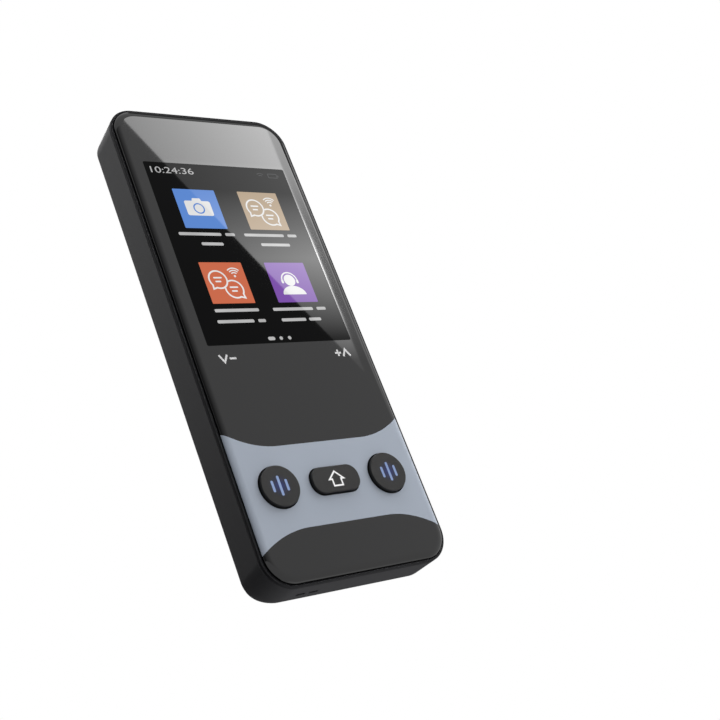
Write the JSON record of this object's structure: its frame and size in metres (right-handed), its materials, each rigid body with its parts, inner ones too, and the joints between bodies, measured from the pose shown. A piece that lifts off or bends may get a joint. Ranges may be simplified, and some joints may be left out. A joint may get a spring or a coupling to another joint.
{
  "type": "handheld voice translator",
  "caption": "Palm-size upright voice translator with a framed glossy front, touch display, front keys, a side power key, a rear camera and a rear speaker grille.",
  "frame": {"origin": "centre of the bottom end, on which the translator can stand", "axes": "+X to the right as the display is read, -Y out of the display, +Y out of the back, +Z towards the top end"},
  "size_m": [0.0486, 0.014, 0.12],
  "materials": {
    "case_plastic": "moulded soft-touch plastic, fine matt texture",
    "front_glass": "black-printed glossy front glass with a curved edge",
    "key_plastic": "moulded key plastic, satin gloss",
    "red_inlay": "red translucent inlay",
    "camera_trim": "turned and bead-blasted trim",
    "camera_glass": "coated optical glass",
    "display_cell": "bonded display cell, black when off",
    "stamped_steel": "stamped and plated sheet",
    "flex_circuit": "polyimide flexible circuit",
    "circuit_board": "solder-masked glass-epoxy board",
    "black_plastic": "moulded glass-filled plastic",
    "white_plastic": "moulded connector plastic",
    "battery_foil": "laminated pouch foil",
    "adhesive": "double-sided adhesive tape",
    "foam": "closed-cell foam",
    "mesh_fabric": "woven acoustic mesh",
    "screw_steel": "blackened machine screws"
  },
  "bodies": {
    "body": {"rear_case": "case_plastic", "front_frame": "case_plastic", "front_panel": "front_glass", "panel_adhesive": "adhesive", "display_module": "display_cell", "display_backplate": "stamped_steel", "display_flex": "flex_circuit", "key_dome_sheet": "stamped_steel", "key_board": "circuit_board", "power_switch": "stamped_steel", "camera_trim": "camera_trim", "camera_window": "camera_glass", "camera_barrel": "black_plastic", "camera_lens": "camera_glass", "camera_module": "black_plastic", "main_board": "circuit_board", "processor_shield": "stamped_steel", "modem_shield": "stamped_steel", "board_connectors": "white_plastic", "usb_c_shell": "stamped_steel", "usb_c_tongue": "black_plastic", "battery": "battery_foil", "battery_tape": "adhesive", "battery_lead": "flex_circuit", "speaker": "black_plastic", "speaker_gasket": "foam", "speaker_mesh": "mesh_fabric", "microphone": "stamped_steel", "microphone_gasket": "foam", "vibration_motor": "stamped_steel", "antenna_flex": "flex_circuit", "frame_screws": "screw_steel", "board_screws": "screw_steel"},
    "left_talk_key": {"left_talk_button": "key_plastic"},
    "home_key": {"home_button": "key_plastic"},
    "right_talk_key": {"right_talk_button": "key_plastic"},
    "power_key": {"power_button": "key_plastic", "power_button_inlay": "red_inlay"}
  },
  "joints": [
    {"name": "left_talk_press", "type": "slide", "parent": "body", "child": "left_talk_key", "axis": [0, 1, 0], "range_m": [0, 0.00035], "stiffness_N_per_m": 900, "springref_m": -0.0006},
    {"name": "home_press", "type": "slide", "parent": "body", "child": "home_key", "axis": [0, 1, 0], "range_m": [0, 0.00035], "stiffness_N_per_m": 900, "springref_m": -0.0006},
    {"name": "right_talk_press", "type": "slide", "parent": "body", "child": "right_talk_key", "axis": [0, 1, 0], "range_m": [0, 0.00035], "stiffness_N_per_m": 900, "springref_m": -0.0006},
    {"name": "power_press", "type": "slide", "parent": "body", "child": "power_key", "axis": [-1, 0, 0], "range_m": [0, 0.0003], "stiffness_N_per_m": 900, "springref_m": -0.0006}
  ]
}
